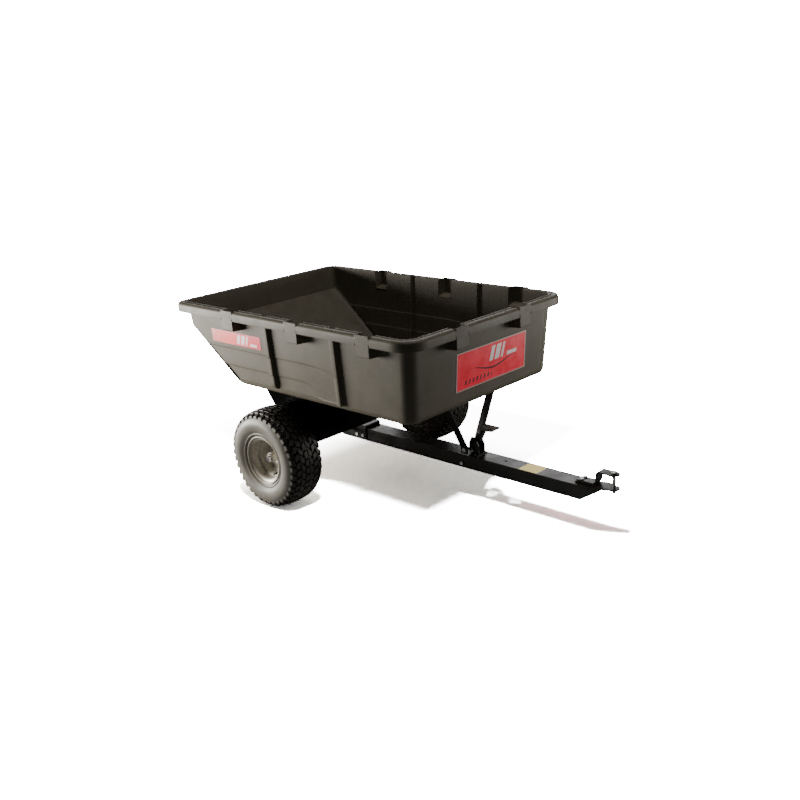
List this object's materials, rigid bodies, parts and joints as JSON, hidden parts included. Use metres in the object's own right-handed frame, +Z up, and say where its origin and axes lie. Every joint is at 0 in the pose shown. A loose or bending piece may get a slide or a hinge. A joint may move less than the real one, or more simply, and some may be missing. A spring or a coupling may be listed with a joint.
{
  "type": "tow behind cart",
  "caption": "Moulded dump tub that tips about its axle on two turf wheels, with a drawbar, a foot-pedal tub latch and a clevis hitch with a pin and clip.",
  "frame": {"origin": "on the ground under the middle of the overall box, with the wheels standing and the drawbar level", "axes": "+X forward to the hitch, +Y to the left side, +Z up"},
  "size_m": [1.796, 1.029, 0.7289],
  "materials": {
    "tub_poly": "moulded polyethylene, fine matt grain",
    "frame_paint": "satin black powder coat on sheet steel",
    "axle_steel": "bright drawn steel bar",
    "zinc": "zinc plated fasteners",
    "bushing_steel": "bright flanged bushing",
    "nylon": "natural nylon",
    "decal_red": null,
    "label_yellow": "blank vinyl label",
    "tyre_rubber": "moulded rubber with a block tread",
    "rim_paint": "dark grey paint on pressed steel",
    "valve_rubber": "moulded rubber",
    "pedal_paint": "worn dark paint with grip ribs"
  },
  "bodies": {
    "frame": {"drawbar": "frame_paint", "axle_saddle": "frame_paint", "saddle_bolts": "zinc", "axle": "axle_steel", "axle_spacers": "frame_paint", "axle_washers": "zinc", "cotter_pins": "zinc", "latch_stand": "frame_paint", "latch_stand_bolts": "zinc", "pedal_pin": "zinc", "cross_bolt": "zinc", "drawbar_label": "label_yellow", "clevis_lower_arm": "frame_paint", "clevis_upper_arm": "frame_paint", "clevis_bolts": "zinc", "pedal_spring": "zinc"},
    "tub_body": {"tub": "tub_poly", "pivot_bracket_left": "frame_paint", "pivot_bracket_right": "frame_paint", "support_web_left": "frame_paint", "support_web_right": "frame_paint", "pivot_bushings": "nylon", "tub_bolts": "zinc", "latch_strap_left": "frame_paint", "latch_strap_right": "frame_paint", "strap_bolts": "zinc", "striker_pin": "zinc", "front_decal": "decal_red", "side_decals": "decal_red"},
    "wheel_left": {"tyre_left": "tyre_rubber", "rim_left": "rim_paint", "hub_left": "rim_paint", "hub_bushings_left": "bushing_steel", "valve_left": "valve_rubber"},
    "wheel_right": {"tyre_right": "tyre_rubber", "rim_right": "rim_paint", "hub_right": "rim_paint", "hub_bushings_right": "bushing_steel", "valve_right": "valve_rubber"},
    "pedal": {"pedal_lever": "frame_paint", "pedal_pad": "pedal_paint"},
    "hitch_pin_body": {"hitch_pin": "zinc"},
    "hitch_clip_body": {"hitch_clip": "zinc"}
  },
  "joints": [
    {"name": "tub_dump", "type": "hinge", "parent": "frame", "child": "tub_body", "pos_m": [-0.332, 0, 0.1905], "axis": [0, -1, 0], "range_deg": [0, 52]},
    {"name": "wheel_left_spin", "type": "hinge", "parent": "frame", "child": "wheel_left", "pos_m": [-0.332, 0.433, 0.1905], "axis": [0, 1, 0], "continuous": true},
    {"name": "wheel_right_spin", "type": "hinge", "parent": "frame", "child": "wheel_right", "pos_m": [-0.332, -0.433, 0.1905], "axis": [0, 1, 0], "continuous": true},
    {"name": "pedal_press", "type": "hinge", "parent": "frame", "child": "pedal", "pos_m": [0.287, 0, 0.213], "axis": [0, 1, 0], "range_deg": [0, 20], "stiffness_Nm_per_rad": 6, "springref_deg": -20.05},
    {"name": "hitch_pin_lift", "type": "slide", "parent": "frame", "child": "hitch_pin_body", "axis": [0, 0, 1], "range_m": [0, 0.0035]},
    {"name": "clip_pull", "type": "slide", "parent": "hitch_pin_body", "child": "hitch_clip_body", "axis": [0, 1, 0], "range_m": [0, 0.024]}
  ]
}
